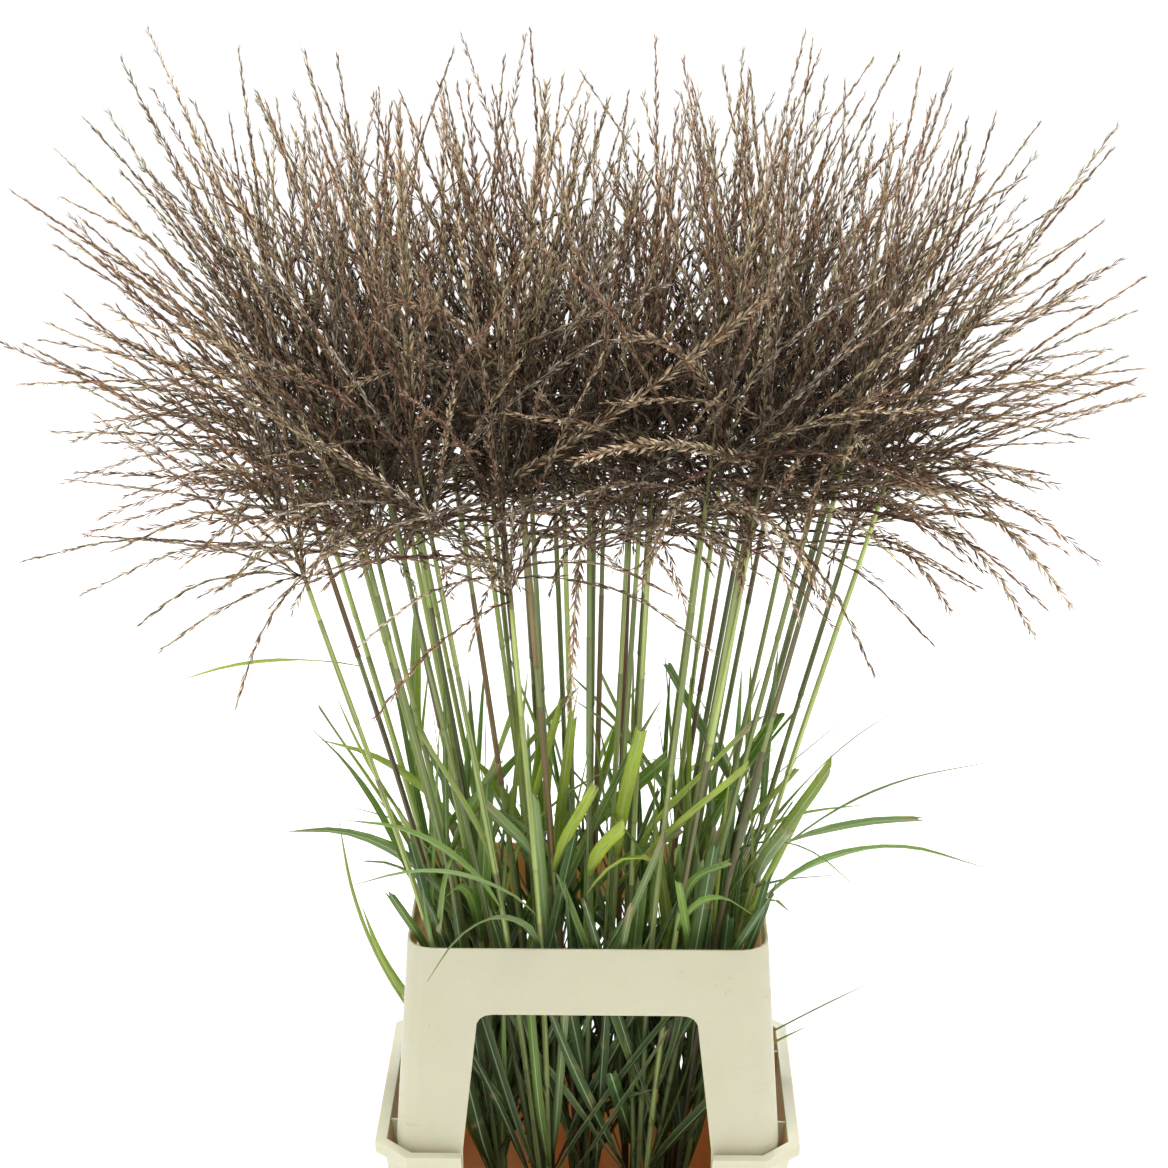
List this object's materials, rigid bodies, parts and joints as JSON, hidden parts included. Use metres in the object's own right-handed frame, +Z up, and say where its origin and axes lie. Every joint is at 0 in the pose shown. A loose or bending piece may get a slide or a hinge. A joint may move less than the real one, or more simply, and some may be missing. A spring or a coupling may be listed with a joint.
{
  "type": "bucket of cut maiden grass",
  "caption": "Tall bucket of cut maiden grass: tied bunches of culms fan out of a windowed collar and end in wide, open, brown plumes.",
  "frame": {"origin": "on the floor, under the middle of the bucket's flat bottom", "axes": "+Z up, -Y towards the front, which is a long side of the bucket, +X to the right seen from the front"},
  "size_m": [0.9781, 0.9262, 1.2989],
  "materials": {
    "bucket_plastic": "ivory, moulded, slightly scuffed",
    "collar_plastic": "ivory, moulded, satin",
    "water": "clear",
    "culm_green": "fresh green, waxy, with purple-brown sheaths",
    "plume_brown": "dry, taupe and purple-brown",
    "rubber_band": "tan"
  },
  "bodies": {
    "root": {"bucket": "bucket_plastic", "collar": "collar_plastic", "water": "water", "bunch_01_culms": "culm_green", "bunch_01_plumes": "plume_brown", "bunch_01_tie": "rubber_band", "bunch_02_culms": "culm_green", "bunch_02_plumes": "plume_brown", "bunch_02_tie": "rubber_band", "bunch_03_culms": "culm_green", "bunch_03_plumes": "plume_brown", "bunch_03_tie": "rubber_band", "bunch_04_culms": "culm_green", "bunch_04_plumes": "plume_brown", "bunch_04_tie": "rubber_band", "bunch_05_culms": "culm_green", "bunch_05_plumes": "plume_brown", "bunch_05_tie": "rubber_band", "bunch_06_culms": "culm_green", "bunch_06_plumes": "plume_brown", "bunch_06_tie": "rubber_band", "bunch_07_culms": "culm_green", "bunch_07_plumes": "plume_brown", "bunch_07_tie": "rubber_band", "bunch_08_culms": "culm_green", "bunch_08_plumes": "plume_brown", "bunch_08_tie": "rubber_band", "bunch_09_culms": "culm_green", "bunch_09_plumes": "plume_brown", "bunch_09_tie": "rubber_band", "bunch_10_culms": "culm_green", "bunch_10_plumes": "plume_brown", "bunch_10_tie": "rubber_band"}
  },
  "joints": []
}
